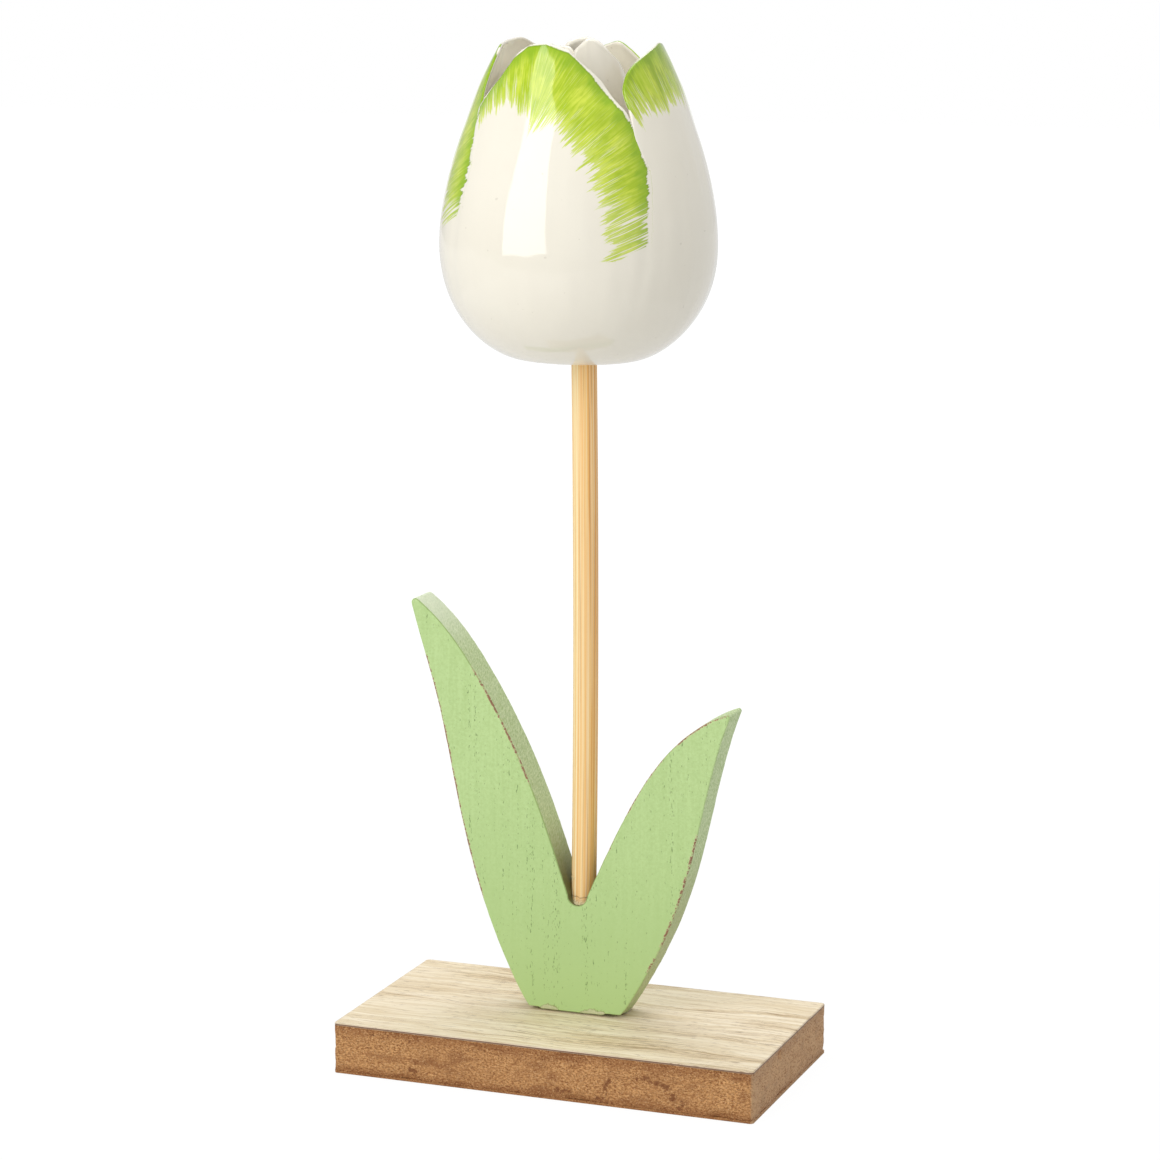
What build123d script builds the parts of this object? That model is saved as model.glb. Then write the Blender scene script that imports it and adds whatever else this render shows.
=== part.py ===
from build123d import *
import os

# A tulip ornament: a glazed ceramic bloom on a bamboo stick, a sawn leaf plate and a veneered base board.
# All sizes are in millimetres. X runs along the base, the front faces -Y, and Z = 0 is the table.

# Base: a sawn fibreboard with a veneer face above and a balancing sheet below
base_length = 102.0
base_width = 55.0
board_thickness = 10.8
veneer_thickness = 0.6
base_corner = 0.9

# Leaf plate: one board sawn to two unequal leaves that meet in a notch; heights are above its foot
leaf_thickness = 9.0
leaf_front = 1.5
foot_width = 22.8
foot_shift = -1.3
notch_shift = -0.6
notch_height = 25.8
notch_round = 2.3
left_tip = (-42.2, 97.4)
left_tip_round = 1.4
left_outer_upper = (-36.0, 74.3)
left_outer_lower = (-29.9, 46.1)
left_inner_upper = (-24.6, 77.3)
left_inner_lower = (-12.2, 53.6)
right_tip = (36.7, 74.2)
right_tip_round = 0.6
right_outer_upper = (31.3, 56.2)
right_outer_lower = (23.8, 27.3)
right_inner_upper = (22.1, 64.5)
right_inner_lower = (10.0, 45.8)
# Which way the saw runs at the foot, at both sides of each tip and at the notch, as (across, up)
right_foot_way = (0.65, 1.0)
right_tip_way_up = (0.4, 1.0)
right_tip_way_down = (-1.0, -0.3)
right_notch_way = (-0.45, -1.0)
left_notch_way = (-0.33, 1.0)
left_tip_way_up = (-0.77, 0.64)
left_tip_way_down = (0.17, -1.0)
left_foot_way = (0.6, -1.0)

# Stem: a bamboo stick in a hole drilled down from the notch
stem_diameter = 5.9
stem_seat = 18.0
stem_show = 127.1
hole_clearance = 0.2

# Bloom: a cup of four petals, the front and back ones raised over the other two.
# Heights are above its floor, and a handle is how far a curve runs on before it bends.
bloom_offset = -1.8
bloom_lean = 1.1
bloom_height = 72.8
floor_radius = 13.5
floor_handle = 4.4
belly_radius = 31.4
belly_height = 25.8
belly_handle_below = 18.0
belly_handle_above = 17.5
rim_radius = 15.8
rim_handle_out = 4.4
rim_handle_down = 5.7
cup_floor = 4.0
cup_wall = 3.0
rim_wall = 2.2
side_tip = 71.4
side_tip_handle = 7.0
side_width = 18.5
side_shoulder = 48.0
side_handle = 15.0
raised_lift = 0.9
raised_tuck = 0.5
raised_wall = 2.2
raised_half_angle = 50.0
raised_foot = 6.0
raised_tip = 70.4
raised_tip_handle = 8.0
raised_width = 24.5
raised_shoulder = 34.0
raised_handle = 17.0
rim_round = 0.5

# Bud: a smaller cup of three petals that stands on the floor of the first, with heights above its own floor
bud_height = 67.6
bud_floor_radius = 8.0
bud_floor_handle = 5.0
bud_belly_radius = 19.0
bud_belly_height = 22.0
bud_belly_handle = 13.0
bud_rim_radius = 6.8
bud_rim_handle_out = 3.0
bud_rim_handle_down = 11.0
bud_floor = 3.0
bud_wall = 2.0
bud_petals = 3
bud_turn = 15.0
bud_notch_width = 11.6
bud_notch_depth = 9.0
bud_tip_handle = 3.2

# Screws and glue
screw_diameter = 3.0
screw_head = 5.8
screw_head_height = 1.6
screw_sink = 0.3
screw_reach = 11.0
screw_point = 2.5
screw_spacing = 14.5
screw_clearance = 0.2
glue_film = 0.3
foot_squeeze = 0.5
stem_bead_foot = 1.0
stem_bead_height = 7.5
stem_bead_width = 1.2
bloom_bead_height = 0.8
bloom_bead_width = 1.0
bead_lip = 0.2

# Places that follow from the sizes
board_top = veneer_thickness + board_thickness
base_top = board_top + veneer_thickness
foot_level = base_top + glue_film
leaf_middle = leaf_thickness / 2 - leaf_front
notch_level = foot_level + notch_height
stem_radius = stem_diameter / 2
hole_radius = stem_radius + hole_clearance / 2
stem_spot = (notch_shift, leaf_middle)
bloom_level = notch_level + stem_show
bloom_place = Pos(notch_shift + bloom_offset, leaf_middle, bloom_level) * Rot(Y=bloom_lean)
screw_spots = [(foot_shift + side * screw_spacing / 2, leaf_middle) for side in (-1, 1)]
stand = (Align.CENTER, Align.CENTER, Align.MIN)


def upright(radius, spot, low, high):
    """A round bar along Z, as a piece or as a cutter."""
    return Pos(*spot, low) * Cylinder(radius, high - low, align=stand)


def turned(*points):
    """A solid of revolution from half a section, given as (radius, height) corners."""
    return revolve(Plane.XZ * make_face(Polyline(*points, close=True)), Axis.Z)


def screw(grow=0.0):
    """A countersunk wood screw driven from below, or the room for it when it is grown all round."""
    core = screw_diameter / 2 + grow
    head = screw_head / 2 + grow
    neck = screw_sink + screw_head_height
    tip = foot_level + screw_reach + grow
    return turned((0, screw_sink), (head, screw_sink), (core, neck), (core, tip - screw_point), (0, tip))


def without_screws(piece):
    """The piece with the holes of both screws, open at the underside."""
    grow = screw_clearance / 2
    for spot in screw_spots:
        piece -= Pos(*spot, 0) * screw(grow)
        piece -= upright(screw_head / 2 + grow, spot, 0, screw_sink)
    return piece


def base_sheet(low, thickness):
    """One layer of the base, with sanded upright corners."""
    sheet = Pos(0, 0, low) * Box(base_length, base_width, thickness, align=stand)
    return without_screws(fillet(sheet.edges().filter_by(Axis.Z), base_corner))


def leaf_face():
    """The sawn outline in the front view, from the foot round both leaves."""
    foot_left = (foot_shift - foot_width / 2, 0)
    foot_right = (foot_shift + foot_width / 2, 0)
    notch_left = (notch_shift - notch_round, notch_height + notch_round)
    notch_right = (notch_shift + notch_round, notch_height + notch_round)
    right_outer = (right_outer_lower, right_outer_upper)
    right_inner = (right_inner_upper, right_inner_lower)
    left_inner = (left_inner_lower, left_inner_upper)
    left_outer = (left_outer_upper, left_outer_lower)
    face = make_face([
        Line(foot_left, foot_right),
        Spline(foot_right, *right_outer, right_tip, tangents=[right_foot_way, right_tip_way_up]),
        Spline(right_tip, *right_inner, notch_right, tangents=[right_tip_way_down, right_notch_way]),
        ThreePointArc(notch_right, (notch_shift, notch_height), notch_left),
        Spline(notch_left, *left_inner, left_tip, tangents=[left_notch_way, left_tip_way_up]),
        Spline(left_tip, *left_outer, foot_left, tangents=[left_tip_way_down, left_foot_way]),
    ])
    for spot, radius in ((left_tip, left_tip_round), (right_tip, right_tip_round)):
        face = fillet(face.vertices().sort_by_distance(spot)[0], radius)
    return face


def leaf_plate():
    """Both leaves in one board, with the stem's blind hole and the pilot holes of the screws."""
    back = Plane(origin=(0, leaf_thickness - leaf_front, foot_level), x_dir=(1, 0, 0), z_dir=(0, -1, 0))
    plate = extrude(back * leaf_face(), leaf_thickness)
    plate -= upright(hole_radius, stem_spot, notch_level - stem_seat, notch_level + notch_height)
    return without_screws(plate)


def stem():
    """The stick, from just above the bottom of its hole up through both floors of the bloom."""
    low = notch_level - stem_seat + hole_clearance
    stick = upright(stem_radius, stem_spot, low, bloom_level + cup_floor + bud_floor)
    return chamfer(stick.edges().filter_by(GeomType.CIRCLE), hole_clearance)


def cup_curves(floor, belly, rim, floor_level=0.0):
    """The bloom's swelling profile from floor to rim, for the given radii."""
    return [
        Bezier(
            (floor, floor_level),
            (floor + floor_handle, floor_level),
            (belly, belly_height - belly_handle_below + floor_level),
            (belly, belly_height),
        ),
        Bezier(
            (belly, belly_height),
            (belly, belly_height + belly_handle_above),
            (rim + rim_handle_out, bloom_height - rim_handle_down),
            (rim, bloom_height),
        ),
    ]


def bud_curves(floor, belly, rim, floor_level=0.0):
    """The bud's slimmer profile from floor to rim, for the given radii."""
    return [
        Bezier(
            (floor, floor_level),
            (floor + bud_floor_handle, floor_level),
            (belly, bud_belly_height - bud_belly_handle + floor_level),
            (belly, bud_belly_height),
        ),
        Bezier(
            (belly, bud_belly_height),
            (belly, bud_belly_height + bud_belly_handle),
            (rim + bud_rim_handle_out, bud_height - bud_rim_handle_down),
            (rim, bud_height),
        ),
    ]


def vessel(skin, core):
    """A turned cup between an outer and an inner profile, closed at the axis and at the rim."""
    outer_floor = skin[0] @ 0
    inner_floor = core[0] @ 0
    closing = [
        Line((0, outer_floor.Y), outer_floor),
        Line((0, inner_floor.Y), inner_floor),
        Line((0, outer_floor.Y), (0, inner_floor.Y)),
        Line(skin[1] @ 1, core[1] @ 1),
    ]
    return revolve(Plane.XZ * make_face([*skin, *core, *closing]), Axis.Z)


def petal_face(tip, tip_handle, width, shoulder, handle, foot):
    """A petal's outline as seen from in front of it: pointed above and straight below the shoulder."""
    outline = [Line((-width, foot), (width, foot))]
    for side in (-width, width):
        handles = (tip_handle * side / width, tip), (side, shoulder + handle)
        outline += [Bezier((0, tip), *handles, (side, shoulder)), Line((side, shoulder), (side, foot))]
    return make_face(outline)


def rim_edges(piece, level, clear_of_axis):
    """The cut edges of a petal above a level: all but the rings where two curves of the profile meet."""
    return piece.edges().filter_by(
        lambda edge: edge.geom_type != GeomType.CIRCLE
        and edge.center().Z > level + rim_round
        and abs(edge.center().X) >= clear_of_axis
    )


def slotted_cup():
    """The cup, cut away at the front and back so that its right and left petals stand free."""
    cup = Rot(Z=90) * vessel(
        cup_curves(floor_radius, belly_radius, rim_radius),
        cup_curves(floor_radius, belly_radius - cup_wall, rim_radius - rim_wall, cup_floor),
    )
    side_foot = side_shoulder - side_width
    keep = petal_face(side_tip, side_tip_handle, side_width, side_shoulder, side_handle, side_foot)
    above = Pos(0, side_shoulder) * Rectangle(3 * belly_radius, bloom_height, align=(Align.CENTER, Align.MIN))
    cup -= extrude(Plane.YZ * (above - keep), 2 * belly_radius, both=True)
    return fillet(rim_edges(cup, side_shoulder, side_width / 2), rim_round)


def raised_petal():
    """The front petal: a slice of a slightly wider cup, trimmed to a pointed outline."""
    radii = [floor_radius - raised_tuck, belly_radius + raised_lift, rim_radius + raised_lift]
    skin = cup_curves(*radii)
    core = cup_curves(*[radius - raised_wall for radius in radii])
    section = make_face([*skin, *core, Line(skin[0] @ 0, core[0] @ 0), Line(skin[1] @ 1, core[1] @ 1)])
    petal = revolve(Plane.XZ * section, Axis.Z, 2 * raised_half_angle)
    petal = Rot(Z=-90 - raised_half_angle) * petal
    tip = (raised_tip, raised_tip_handle)
    outline = petal_face(*tip, raised_width, raised_shoulder, raised_handle, raised_foot)
    petal &= extrude(Plane.XZ * outline, belly_radius + raised_lift + raised_wall)
    return fillet(rim_edges(petal, raised_foot, 0), rim_round)


def stem_room(piece):
    """A part of the bloom, put in its place, with the hole that the stem comes through."""
    placed = bloom_place * piece
    return placed - upright(hole_radius, stem_spot, bloom_level - belly_radius, bloom_level + belly_height)


def bloom_cup():
    """The cup with its raised front and back petals, as one casting."""
    petal = raised_petal()
    return stem_room(slotted_cup() + petal + Rot(Z=180) * petal)


def inner_bud():
    """The bud that fills the mouth of the bloom, with a notch between each two petals."""
    radii = [bud_floor_radius, bud_belly_radius, bud_rim_radius]
    bud = vessel(bud_curves(*radii), bud_curves(*[radius - bud_wall for radius in radii], bud_floor))
    bottom = (0, bud_height - bud_notch_depth)
    sides = (-bud_notch_width / 2, bud_notch_width / 2)
    outline = [Line(*[(side, bud_height) for side in sides])]
    for side in sides:
        inward = bud_tip_handle if side < 0 else -bud_tip_handle
        outline.append(Bezier(bottom, (side + inward, bud_height), (side, bud_height)))
    notch = extrude(Plane.XZ * make_face(outline), bud_belly_radius)
    for turn in range(bud_petals):
        bud -= Rot(Z=90 + bud_turn + turn * 360 / bud_petals) * notch
    return stem_room(Pos(0, 0, cup_floor) * bud)


def foot_glue():
    """The film of glue under the leaf plate, squeezed out a little all round."""
    film = Pos(foot_shift, leaf_middle, base_top) * Box(
        foot_width + 2 * foot_squeeze, leaf_thickness + 2 * foot_squeeze, glue_film, align=stand
    )
    return without_screws(fillet(film.edges().filter_by(Axis.Z), foot_squeeze))


def stem_glue(plate):
    """A bead run round the stem in the notch; it lies on the sawn edges of the plate."""
    low = notch_level + stem_bead_foot
    high = low + stem_bead_height
    outer = hole_radius + stem_bead_width
    bead = turned((hole_radius, low), (outer, low), (hole_radius + bead_lip, high), (hole_radius, high))
    return Pos(*stem_spot, 0) * bead - plate


def bloom_glue():
    """A bead round the stem under the bloom."""
    outer = hole_radius + bloom_bead_width
    low = -bloom_bead_height
    bead = turned((hole_radius, low), (hole_radius + bead_lip, low), (outer, 0), (hole_radius, 0))
    return bloom_place * Pos(-bloom_offset, 0, 0) * bead


plate = leaf_plate()
pieces = {
    "backing_veneer": base_sheet(0, veneer_thickness),
    "base_board": base_sheet(veneer_thickness, board_thickness),
    "top_veneer": base_sheet(board_top, veneer_thickness),
    "base_screws": Compound([Pos(*spot, 0) * screw() for spot in screw_spots]),
    "foot_glue": foot_glue(),
    "leaf_plate": plate,
    "stem_glue": stem_glue(plate),
    "stem": stem(),
    "bloom_glue": bloom_glue(),
    "bloom_cup": bloom_cup(),
    "inner_bud": inner_bud(),
}

os.makedirs("parts", exist_ok=True)
for node, shape in pieces.items():
    export_step(shape, f"parts/{node}.step")
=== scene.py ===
import math
import bmesh
import bpy
import numpy as np
from mathutils import Matrix


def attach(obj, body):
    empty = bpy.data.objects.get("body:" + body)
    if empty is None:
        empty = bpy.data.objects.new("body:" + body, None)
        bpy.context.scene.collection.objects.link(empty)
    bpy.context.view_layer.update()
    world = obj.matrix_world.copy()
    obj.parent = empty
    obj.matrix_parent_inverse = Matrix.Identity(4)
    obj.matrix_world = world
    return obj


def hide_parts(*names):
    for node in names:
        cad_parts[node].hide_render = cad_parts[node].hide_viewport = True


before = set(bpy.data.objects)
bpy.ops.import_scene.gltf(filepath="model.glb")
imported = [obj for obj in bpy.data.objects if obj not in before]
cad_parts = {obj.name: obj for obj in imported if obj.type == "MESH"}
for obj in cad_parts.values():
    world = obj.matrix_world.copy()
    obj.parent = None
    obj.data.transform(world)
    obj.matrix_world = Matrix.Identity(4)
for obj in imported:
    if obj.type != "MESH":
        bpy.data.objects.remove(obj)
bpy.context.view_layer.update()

print("frame loaded:", len(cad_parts), "CAD nodes")


# grids: every piece is worked out in millimetres and put into a mesh in metres

toMetres, toMillimetres = 0.001, 1000.0
mergeGap, sliverGap = 3e-7, 1e-8  # metres
tiny = 1e-12  # keeps a quotient finite
latticeSize = 64
quarterTurn, halfTurn, fullTurn = np.pi / 2, np.pi, 2 * np.pi


def ease(x, low, high):  # 0 below low, 1 above high, an S between them
    t = np.clip((x - low) / (high - low), 0, 1)
    return t * t * (3 - 2 * t)


def lumps(x, y, seed):  # soft bumps from -1 to 1: a seeded square lattice, S-blended between its points, repeating
    table = np.random.default_rng(seed).uniform(-1, 1, (latticeSize, latticeSize))
    x, y = np.broadcast_arrays(np.asarray(x, float), np.asarray(y, float))
    i, j = np.floor(x).astype(int), np.floor(y).astype(int)
    u, v = ease(x - i, 0, 1), ease(y - j, 0, 1)
    i, j, k, l = (n % latticeSize for n in (i, j, i + 1, j + 1))
    near = table[i, j] * (1 - u) + table[k, j] * u
    far = table[i, l] * (1 - u) + table[k, l] * u
    return near * (1 - v) + far * v


def lapSteps(count):  # lattice places of evenly spaced points round a loop, which goes round the lattice once
    return np.arange(count) / count * latticeSize


def columns(*values):  # values side by side in a last axis, each repeated as far as the others go
    return np.stack(np.broadcast_arrays(*values), -1)


def around(spot, r, turn, z):  # points at a distance and an angle about an upright axis
    return columns(spot[0] + r * np.cos(turn), spot[1] + r * np.sin(turn), z)


def raised(plan, z):  # the rings of a plan, each at its own height
    return np.concatenate([plan, np.broadcast_to(z[:, None], (*plan.shape[:2], 1))], -1)


def wrapped(degrees):  # an angle between -180 and 180
    return (degrees + 180) % 360 - 180


def bezier(corners, count):  # cubic curve from four corners
    t = np.linspace(0, 1, count)[:, None]
    a, b, c, d = np.asarray(corners, float)
    return (1 - t) ** 3 * a + 3 * (1 - t) ** 2 * t * b + 3 * (1 - t) * t ** 2 * c + t ** 3 * d


def runLength(points):  # distance along a polyline at each of its points
    return np.concatenate([[0], np.cumsum(np.linalg.norm(np.diff(points, axis=0), axis=1))])


def readAlong(points, at):  # the points at given distances along a polyline
    run = runLength(points)
    return np.stack([np.interp(at, run, column) for column in points.T], -1)


def resample(points, count, close=False):  # a polyline with its points evenly spaced
    points = np.vstack([points, points[:1]]) if close else points
    return readAlong(points, np.linspace(0, runLength(points)[-1], count, endpoint=not close))


def trimmed(curve, first, last):  # a curve shortened by a length at its start and at its end
    return readAlong(curve, np.linspace(first, runLength(curve)[-1] - last, len(curve)))


def loopThrough(knots, count, steps=24):  # smooth closed line through knots: Catmull-Rom cubics, evenly resampled
    p = np.asarray(knots, float)
    a, b, c, d = (np.roll(p, shift, 0)[:, None, :] for shift in (1, 0, -1, -2))
    t = np.linspace(0, 1, steps, endpoint=False)[None, :, None]
    curve = 0.5 * (2 * b + (c - a) * t + (2 * a - 5 * b + 4 * c - d) * t ** 2 + (3 * b - a - 3 * c + d) * t ** 3)
    return resample(curve.reshape(-1, p.shape[1]), count, close=True)


def sideways(way):  # unit directions to the right of given ones
    return np.stack([way[:, 1], -way[:, 0]], -1) / np.linalg.norm(way, axis=1, keepdims=True)


def outwards(loop):  # unit directions to the right of a closed line
    return sideways(np.roll(loop, -1, 0) - np.roll(loop, 1, 0))


def grid(points, wrapU=False, wrapV=False, **marks):
    # quads between neighbours of a grid, turned so that the volume inside is positive
    rows, cols = points.shape[:2]
    i, j = np.meshgrid(np.arange(rows - (not wrapU)), np.arange(cols - (not wrapV)), indexing="ij")
    k, l = (i + 1) % rows, (j + 1) % cols
    quads = np.stack([i * cols + j, k * cols + j, k * cols + l, i * cols + l], -1).reshape(-1, 4)
    flat = points.reshape(-1, 3)
    a, b, c, d = (flat[quads[:, n]] - flat.mean(0) for n in range(4))
    if np.sum(np.cross(c - a, d - b) * (a + b + c + d)) < 0:
        quads = quads[:, ::-1]
    marks = {name: np.broadcast_to(mark, points.shape).reshape(-1, 3) for name, mark in marks.items()}
    return {"points": flat, "quads": quads, "marks": marks}


def show(name, data):  # an object with that data in the scene
    made = bpy.data.objects.new(name, data)
    bpy.context.scene.collection.objects.link(made)
    return made


def makePiece(name, grids, material, node):
    # one object from one or more grids, doubles merged, smooth, riding on the root
    starts = np.cumsum([0] + [len(g["points"]) for g in grids])
    points = np.vstack([g["points"] for g in grids]) * toMetres
    mesh = bpy.data.meshes.new(name)
    mesh.from_pydata(points, [], np.vstack([g["quads"] + start for g, start in zip(grids, starts)]))
    for mark in grids[0]["marks"]:
        layer = mesh.attributes.new(mark, "FLOAT_VECTOR", "POINT")
        layer.data.foreach_set("vector", np.vstack([g["marks"][mark] for g in grids]).astype(np.float32).ravel())
    work = bmesh.new()
    work.from_mesh(mesh)
    bmesh.ops.remove_doubles(work, verts=work.verts, dist=mergeGap)
    bmesh.ops.dissolve_degenerate(work, edges=work.edges, dist=sliverGap)
    work.to_mesh(mesh)
    work.free()
    mesh.polygons.foreach_set("use_smooth", np.ones(len(mesh.polygons), bool))
    mesh.materials.append(material)
    piece = show(name, mesh)
    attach(piece, "root")
    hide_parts(node)


# shaders

def tones(**read):  # colours read off as 0 to 255, by name, as the shader wants them
    linear = lambda v: v / 12.92 if v <= 0.04045 else ((v + 0.055) / 1.055) ** 2.4
    return {name: tuple(linear(v / 255) for v in rgb) + (1.0,) for name, rgb in read.items()}


class Wire:  # an output socket that can stand in an expression
    def __init__(self, finish, socket):
        self.finish, self.socket = finish, socket

    def maths(self, kind, *values):
        return self.finish.node("ShaderNodeMath", {"operation": kind}, dict(enumerate(values)))

    def __add__(self, other): return self.maths("ADD", self, other)
    def __radd__(self, other): return self.maths("ADD", other, self)
    def __sub__(self, other): return self.maths("SUBTRACT", self, other)
    def __rsub__(self, other): return self.maths("SUBTRACT", other, self)
    def __mul__(self, other): return self.maths("MULTIPLY", self, other)
    def __rmul__(self, other): return self.maths("MULTIPLY", other, self)
    def __truediv__(self, other): return self.maths("DIVIDE", self, other)
    def __rtruediv__(self, other): return self.maths("DIVIDE", other, self)
    def __pow__(self, other): return self.maths("POWER", self, other)
    def __rpow__(self, other): return self.maths("POWER", other, self)
    def __abs__(self): return self.maths("ABSOLUTE", self)
    def orMore(self, other): return self.maths("MAXIMUM", self, other)


class Finish:  # the nodes of one material, or of a world
    def __init__(self, name, palette=None, kind="materials"):
        self.owner, self.palette = getattr(bpy.data, kind).new(name), palette
        self.owner.use_nodes = True
        self.tree = self.owner.node_tree
        self.tree.nodes.clear()

    def node(self, kind, settings=None, sockets=None, out=0):  # any node: its settings first, then values or links
        made = self.tree.nodes.new(kind)
        for key, value in (settings or {}).items():
            setattr(made, key, value)
        for key, value in (sockets or {}).items():
            if isinstance(value, Wire):
                self.tree.links.new(value.socket, made.inputs[key])
            else:
                made.inputs[key].default_value = value
        return Wire(self, made.outputs[out]) if len(made.outputs) else None

    def place(self):  # object coordinates in millimetres
        spot = self.node("ShaderNodeTexCoord", out="Object")
        return self.node("ShaderNodeVectorMath", {"operation": "SCALE"}, {0: spot, "Scale": toMillimetres})

    def split(self, vector):
        return [self.node("ShaderNodeSeparateXYZ", None, {0: vector}, n) for n in range(3)]

    def mark(self, name):  # the three numbers that a piece carries under that name
        return self.split(self.node("ShaderNodeAttribute", {"attribute_name": name}, None, "Vector"))

    def join(self, x, y, z):
        return self.node("ShaderNodeCombineXYZ", None, {0: x, 1: y, 2: z})

    def noise(self, vector, scale=1.0, detail=2.0, rough=0.5):
        sockets = {"Vector": vector, "Scale": scale, "Detail": detail, "Roughness": rough}
        return self.node("ShaderNodeTexNoise", None, sockets)

    def grain(self, vector, factors, *rest):  # noise drawn out by a factor along each axis
        return self.noise(self.node("ShaderNodeVectorMath", {"operation": "MULTIPLY"}, {0: vector, 1: factors}), *rest)

    def rise(self, value, low, high, end=1.0, start=0.0):  # start below low, end above high, an S between
        sockets = {0: value, 1: low, 2: high, 3: start, 4: end}
        return self.node("ShaderNodeMapRange", {"interpolation_type": "SMOOTHSTEP"}, sockets)

    def blend(self, share, first, second):  # two colours, or tones of the palette by name
        first, second = (self.palette[tone] if isinstance(tone, str) else tone for tone in (first, second))
        return self.node("ShaderNodeMix", {"data_type": "RGBA"}, {0: share, 6: first, 7: second}, 2)

    def coats(self, base, *layers):  # tones laid over a base in turn, each as far as its share goes
        for tone, share in layers:
            base = self.blend(share, base, tone)
        return base

    def bump(self, height, depth, strength, under=None):  # height runs 0 to 1 over depth millimetres
        sockets = {"Strength": strength, "Distance": depth * toMetres, "Height": height}
        return self.node("ShaderNodeBump", None, {**sockets, **({"Normal": under} if under else {})})

    def seen(self, share):  # 1 for what the camera sees, a share for what shows in gloss and through glass
        names = "Is Camera Ray", "Is Glossy Ray", "Is Transmission Ray"
        camera, glossy, through = (self.node("ShaderNodeLightPath", None, None, name) for name in names)
        sockets = {0: camera, 1: (glossy + through) * share}
        return self.node("ShaderNodeMath", {"operation": "ADD", "use_clamp": True}, sockets)

    def surface(self, **sockets):
        names = {key.replace("_", " "): value for key, value in sockets.items()}
        self.node("ShaderNodeOutputMaterial", None, {0: self.node("ShaderNodeBsdfPrincipled", None, names)})
        return self.owner


# bloom: a swelling turned body that parts into four petals, the front and back ones lapping over the other two,
# and a bud of three more inside

bloomForm = {
    "foot": (-2.4, 3.0, 165.2), "lean": 1.1, "wobble": {"depth": 0.07, "length": 13, "seed": 5, "from": (2, 20)},
    "skin": [[(13.5, 0), (17.9, 0), (31.4, 7.8), (31.4, 25.8)],
             [(31.4, 25.8), (31.4, 43.3), (20.2, 67.1), (15.8, 72.8)]],
    "budSkin": [[(8, 4), (13, 4), (19, 13), (19, 26)], [(19, 26), (19, 39), (9.75, 60.8), (6.6, 72.4)]],
    "body": {"sink": 0.0, "wall": 2.6, "top": 55.7, "floor": 4.0, "turns": 560},
    "budBody": {"sink": 0.5, "wall": 1.8, "top": 46.0, "floor": 7.0, "turns": 200},
    "seam": [(16, 47), (24, 48.6), (29, 49.2), (35, 50), (41, 51.2), (46, 50.6), (52.5, 48.6), (56.4, 44)],
    "valley": {"depth": 0.13, "width": 1.7, "starts": 14, "full": 34},
    "petalHalf": 45, "lapFrom": (55.6, 62), "curlFrom": (56, 63), "sideFrom": 22,
    "strokeEnds": (25, 37), "closer": 3, "frays": (203.0, 199.0), "thinFrom": 0.48,
    "pitch": 90, "overlap": 2.6, "floorRise": 2.5,
}
curveSteps, skinSteps = 300, 800


class Skin:  # a turned profile, read by the distance along it from the floor
    def __init__(self, curves):
        low, high = (bezier(curve, curveSteps) for curve in curves)
        line = np.vstack([low, high[1:]])
        self.line = resample(line, skinSteps)
        self.run = np.linspace(0, runLength(line)[-1], skinSteps)
        self.out = sideways(np.gradient(self.line, self.run, axis=0))

    def climb(self, height):  # distance along the profile at a height
        return np.interp(height, self.line[:, 1], self.run)

    def radius(self, run):
        return np.interp(run, self.run, self.line[:, 0])

    def place(self, turn, run, lift):
        # world point: turn in radians about the axis, run up the profile, lift off the skin, which is slightly uneven
        r, h, outR, outH = (np.interp(run, self.run, column) for column in (*self.line.T, *self.out.T))
        wobble = bloomForm["wobble"]
        uneven = lumps(turn / fullTurn * latticeSize, run / wobble["length"], wobble["seed"])
        lift = lift + wobble["depth"] * uneven * ease(run, *wobble["from"])
        r, h = r + lift * outR, h + lift * outH
        x, y = r * np.cos(turn), r * np.sin(turn)
        lean = math.radians(bloomForm["lean"])
        footX, footY, footZ = bloomForm["foot"]
        leanX, leanZ = x * math.cos(lean) + h * math.sin(lean), h * math.cos(lean) - x * math.sin(lean)
        return np.stack([footX + leanX, footY + y, footZ + leanZ], -1)


cupSkin, budSkin = Skin(bloomForm["skin"]), Skin(bloomForm["budSkin"])

# brush strokes start at a petal's edge: degrees from its axis, height, lean in degrees where 90 is straight down,
# length, bare margin and how far that margin wanders
frontLow = [
    (49, 52.5, 38, 12.5, 0.2, 3), (51, 46, 29, 12.5, 0, 3), (51.6, 41, 25, 11, 0, 3.4), (50.4, 35, 25, 10.5, 0, 3.4),
    (50, 32, 23, 9.5, 0, 3), (49.7, 29.6, 21, 10.5, 0, 3), (49.5, 28.2, 20, 10.5, 0, 3), (49.4, 27.5, 20, 9, 0, 3),
    (49.4, 27.2, 20, -4, 0, 3)]
sideLow = [
    (49, 52.5, 38, 14, 0.2, 3), (51, 46, 30, 13, 0, 3.4), (51.6, 42, 27, 12, 0, 3.4), (51, 38.2, 26, 11.5, 0, 3.4),
    (50.5, 35.8, 26, 11, 0, 3), (50.3, 35, 26, 5, 0, 3), (50.2, 34.4, 26, 12, 0, 3), (50.1, 33.9, 26, 3, 0, 3),
    (50, 33.4, 26, 10.5, 0, 3), (50, 32.9, 25, 0, 0, 3)]
frontTop = [
    (-46.5, 56.8, 106, 4.5, 0.5, 0.8), (-37, 62.5, 102, 6.5, 0.4, 0.5), (-29, 67.3, 99, 10, 0.3, 0.3),
    (-19.4, 70, 96, 14.5, 0.3, 0.3), (-5.4, 70.6, 88, 18.5, 0.3, 0.3), (12.4, 69.2, 72, 18, 0.35, 0.4),
    (26.4, 65.7, 60, 14.5, 0.6, 0.8), (36.4, 62.3, 53, 13.5, 1.1, 1.2), (45, 56.8, 46, 13, 0.8, 2)]
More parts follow.
